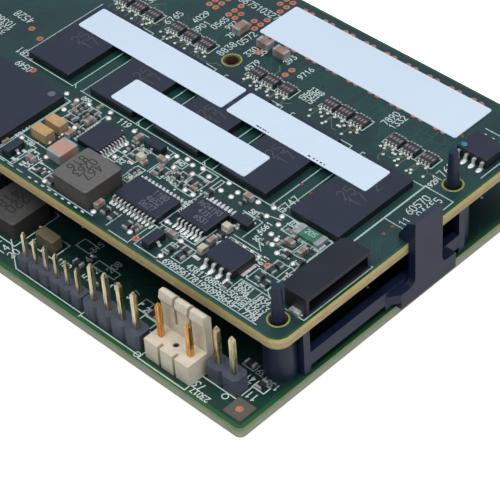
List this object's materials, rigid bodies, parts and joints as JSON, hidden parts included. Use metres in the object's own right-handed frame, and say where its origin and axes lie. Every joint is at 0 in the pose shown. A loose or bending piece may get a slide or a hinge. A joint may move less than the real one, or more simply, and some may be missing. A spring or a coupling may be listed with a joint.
{
  "type": "storage controller card",
  "caption": "Low-profile slot-in storage controller card with a cache memory board clipped above it on a moulded frame, edge contacts, pin headers, cable ports, heat sink and bracket.",
  "frame": {"origin": "middle of the key notch at the tip of the slot contacts, on the component face", "axes": "+X along the card to its free end, +Y up to its top edge, +Z out of its component side"},
  "size_m": [0.18, 0.0792, 0.0184],
  "materials": {
    "board_green": "solder mask over glass-fibre board, satin",
    "gold": "gold plate",
    "bracket_steel": "nickel-plated sheet",
    "screw_steel": "zinc plate",
    "spring_steel": "drawn wire",
    "shell_steel": "stamped and plated",
    "heat_sink_aluminium": "black anodised",
    "pin_plastic": "moulded nylon",
    "black_moulding": "moulded, fine grain",
    "header_plastic": "moulded, slightly rough",
    "cream_plastic": "moulded nylon",
    "chip_black": "moulded epoxy",
    "inductor_grey": "pressed iron powder",
    "tan_ceramic": "fired ceramic",
    "brown_ceramic": "fired ceramic",
    "resistor_black": "glazed",
    "resistor_green": "coated",
    "tin": "tin plate",
    "label_paper": "blank coated label"
  },
  "bodies": {
    "root": {"base_board": "board_green", "mezz_board": "board_green", "edge_contacts": "gold", "bracket": "bracket_steel", "bracket_screws": "screw_steel", "controller_chip": "chip_black", "heat_sink": "heat_sink_aluminium", "heat_sink_pins": "pin_plastic", "pin_springs": "spring_steel", "sas_shell_1": "shell_steel", "sas_shell_2": "shell_steel", "sas_insert_1": "black_moulding", "sas_insert_2": "black_moulding", "two_way_header": "header_plastic", "four_way_header": "header_plastic", "six_way_header": "header_plastic", "two_way_header_pins": "gold", "four_way_header_pins": "gold", "six_way_header_pins": "gold", "key_header": "cream_plastic", "key_header_pins": "gold", "mezz_frame": "black_moulding", "mezz_posts": "black_moulding", "board_socket": "black_moulding", "board_plug": "black_moulding", "flash_package": "chip_black", "mezz_inductor": "inductor_grey", "base_inductors": "inductor_grey", "cable_connector": "black_moulding", "connector_tabs": "tin", "buffer_chip": "chip_black", "switch_chip": "chip_black", "regulator_chip": "chip_black", "monitor_chip": "chip_black", "clock_chip": "chip_black", "base_chips": "chip_black", "buffer_leads": "tin", "switch_leads": "tin", "regulator_leads": "tin", "monitor_leads": "tin", "clock_leads": "tin", "transistor_leads": "tin", "small_transistors": "chip_black", "large_capacitors": "tan_ceramic", "chip_capacitors": "brown_ceramic", "chip_resistors": "resistor_black", "sense_resistor": "resistor_green", "resistor_arrays": "resistor_black", "chip_ends": "tin", "moulded_capacitor": "tan_ceramic", "memory_chip_1": "chip_black", "memory_chip_2": "chip_black", "memory_chip_3": "chip_black", "memory_chip_4": "chip_black", "memory_chip_5": "chip_black", "label_1": "label_paper", "label_2": "label_paper", "label_3": "label_paper", "label_4": "label_paper"}
  },
  "joints": []
}
